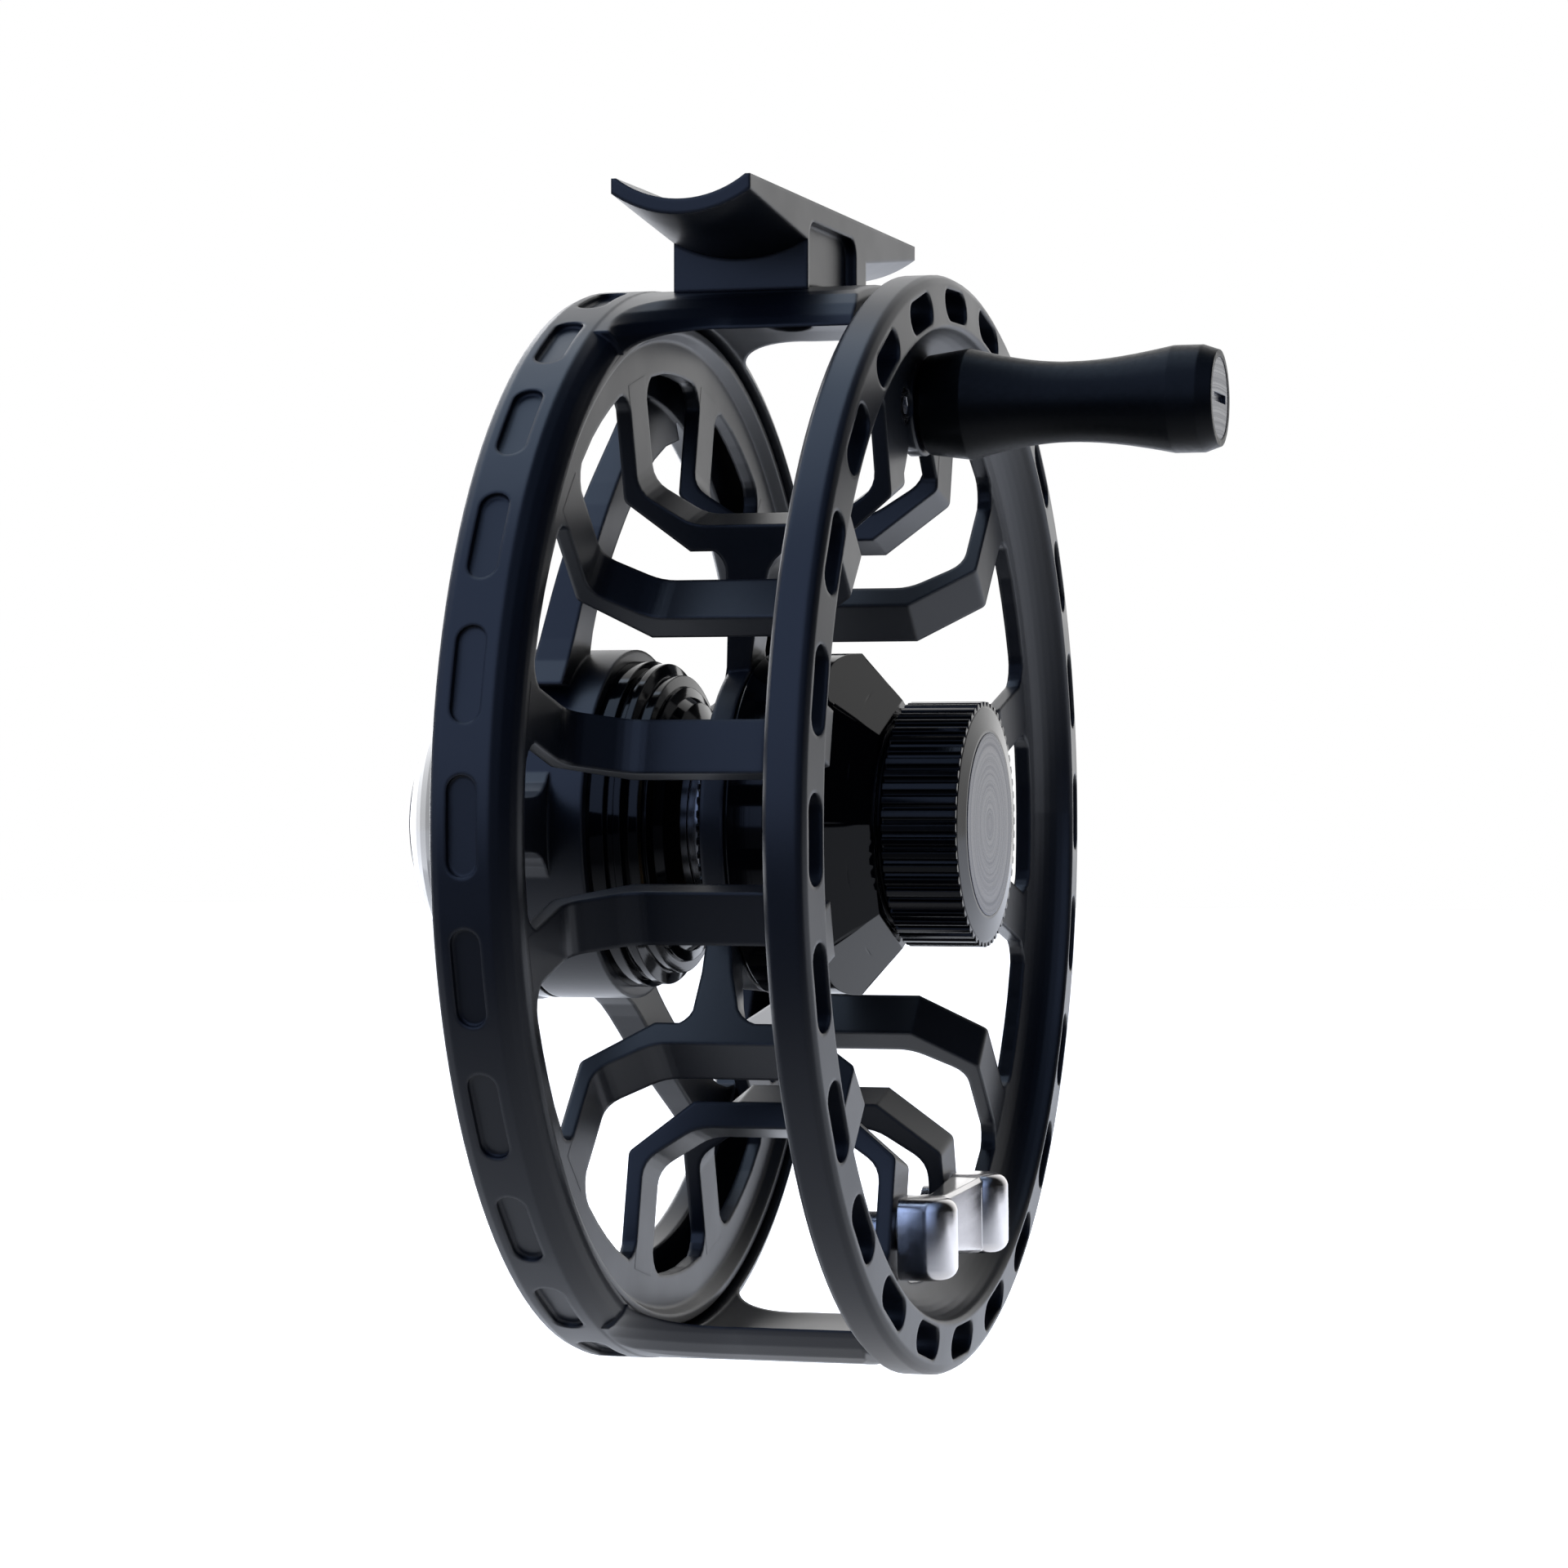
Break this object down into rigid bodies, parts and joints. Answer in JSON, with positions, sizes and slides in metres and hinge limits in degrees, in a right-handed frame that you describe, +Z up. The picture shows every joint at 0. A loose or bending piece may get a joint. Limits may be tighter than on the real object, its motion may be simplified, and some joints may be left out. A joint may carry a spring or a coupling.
{
  "type": "fly reel",
  "caption": "Large-arbor fly reel: half-cage frame with saddle foot, skeleton spool with handle and counterweight, click pawl and adjustable disc drag.",
  "frame": {"origin": "on the spool axis inside the arbor, 0.7 mm nearer the handle than the middle of the arbor", "axes": "+X along the spool axis towards the handle side, +Y along the reel foot, +Z up through the foot"},
  "size_m": [0.0856, 0.112, 0.1192],
  "materials": {
    "anodised_black": "satin black anodised",
    "gloss_black": "polished black",
    "graphite": "brushed graphite",
    "handle_black": "matte black",
    "polished_steel": "polished",
    "machined_steel": "machined",
    "bronze": "plain bearing bronze",
    "carbon": "woven carbon friction disc",
    "seal_rubber": "moulded"
  },
  "bodies": {
    "frame": {"frame_shell": "anodised_black", "foot": "anodised_black", "foot_screws": "machined_steel", "rear_cover": "gloss_black", "cover_screws": "machined_steel", "drag_housing": "gloss_black", "housing_seal": "seal_rubber", "spindle": "machined_steel", "spindle_nut": "machined_steel", "bearing_inner_rings": "machined_steel", "bearing_balls": "machined_steel", "bearing_spacer": "machined_steel", "spool_clip": "machined_steel", "friction_discs": "carbon", "pawl_post": "machined_steel"},
    "rotor": {"drag_rotor": "machined_steel", "bearing_outer_rings": "machined_steel"},
    "spool": {"spool_body": "anodised_black", "plate_screws": "machined_steel", "hub_collar": "gloss_black", "click_ring": "gloss_black", "clutch_shell": "machined_steel", "clutch_rollers": "machined_steel", "spool_bushes": "bronze", "latch_collet": "machined_steel", "counterweight": "polished_steel", "counterweight_screws": "machined_steel", "handle_pin": "machined_steel", "handle_nut": "machined_steel", "handle_screw": "machined_steel"},
    "cap": {"cap_core": "machined_steel", "cap_knob": "gloss_black", "cap_disc": "graphite", "cap_seal": "seal_rubber"},
    "handle": {"handle_grip": "handle_black", "handle_bushes": "bronze", "handle_end_cap": "graphite"},
    "drag_adjuster": {"drag_knob": "gloss_black", "drag_dome": "graphite", "spring_washers": "machined_steel", "thrust_washer": "machined_steel"},
    "plate": {"pressure_plate": "machined_steel", "push_pins": "machined_steel"},
    "pawl": {"click_pawl": "machined_steel"}
  },
  "joints": [
    {"name": "spool_spin", "type": "hinge", "parent": "frame", "child": "spool", "pos_m": [0, 0, 0], "axis": [1, 0, 0], "continuous": true},
    {"name": "rotor_slip", "type": "hinge", "parent": "frame", "child": "rotor", "pos_m": [-0.01, 0, 0], "axis": [1, 0, 0], "continuous": true},
    {"name": "handle_spin", "type": "hinge", "parent": "spool", "child": "handle", "pos_m": [0.03, 0, 0.043], "axis": [1, 0, 0], "continuous": true},
    {"name": "cap_release", "type": "hinge", "parent": "spool", "child": "cap", "pos_m": [0.014, 0, 0], "axis": [1, 0, 0], "range_deg": [0, 90]},
    {"name": "drag_adjust", "type": "hinge", "parent": "frame", "child": "drag_adjuster", "pos_m": [-0.034, 0, 0], "axis": [1, 0, 0], "range_deg": [0, 330]},
    {"name": "plate_press", "type": "slide", "parent": "frame", "child": "plate", "axis": [1, 0, 0], "range_m": [0, 0.0003]},
    {"name": "pawl_rock", "type": "hinge", "parent": "frame", "child": "pawl", "pos_m": [-0.0061, 0.0099, 0], "axis": [1, 0, 0], "range_deg": [-5, 6], "stiffness_Nm_per_rad": 0.00005}
  ],
  "couplings": [
    {"joint": "plate_press", "follows": "drag_adjust", "m_per_rad": 0.000052}
  ]
}
